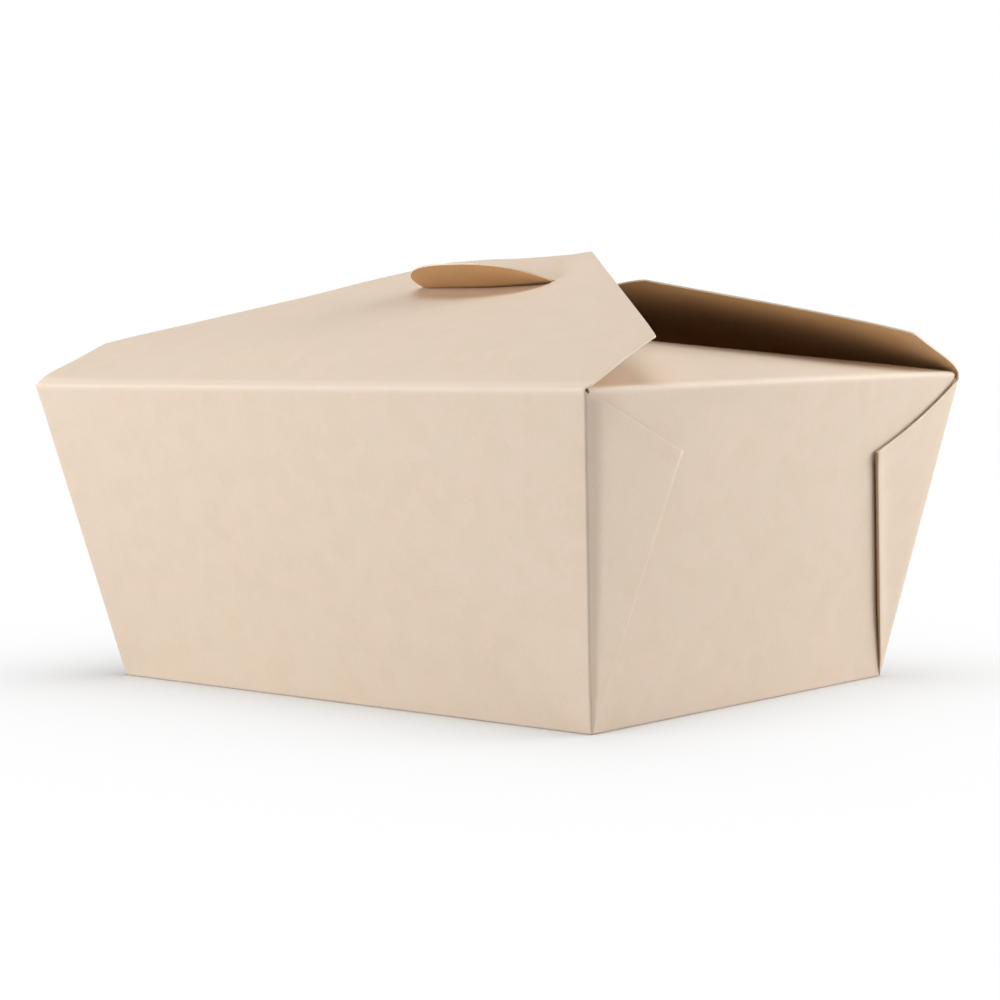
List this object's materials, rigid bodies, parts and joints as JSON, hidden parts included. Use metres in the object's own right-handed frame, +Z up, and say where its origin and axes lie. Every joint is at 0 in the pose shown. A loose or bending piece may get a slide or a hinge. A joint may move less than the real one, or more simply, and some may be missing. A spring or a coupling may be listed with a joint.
{
  "type": "takeaway box",
  "caption": "Folded kraft board food box with flared walls, webs folded flat on the end walls, end flaps, a tab flap and a lid flap whose slit takes the tab",
  "frame": {"origin": "middle of the base, on the table", "axes": "+X along the long side, +Y towards the wall that carries the tab flap, +Z up"},
  "size_m": [0.2308, 0.1797, 0.1336],
  "materials": {
    "kraft_board": "uncoated kraft board, matte, light brown outside"
  },
  "bodies": {
    "box": {"carton": "kraft_board"},
    "lid": {"lid_flap": "kraft_board"}
  },
  "joints": [
    {"name": "lid_crease", "type": "hinge", "parent": "box", "child": "lid", "pos_m": [0, -0.08969, 0.09425], "axis": [1, 0, 0], "range_deg": [0, 150]}
  ]
}
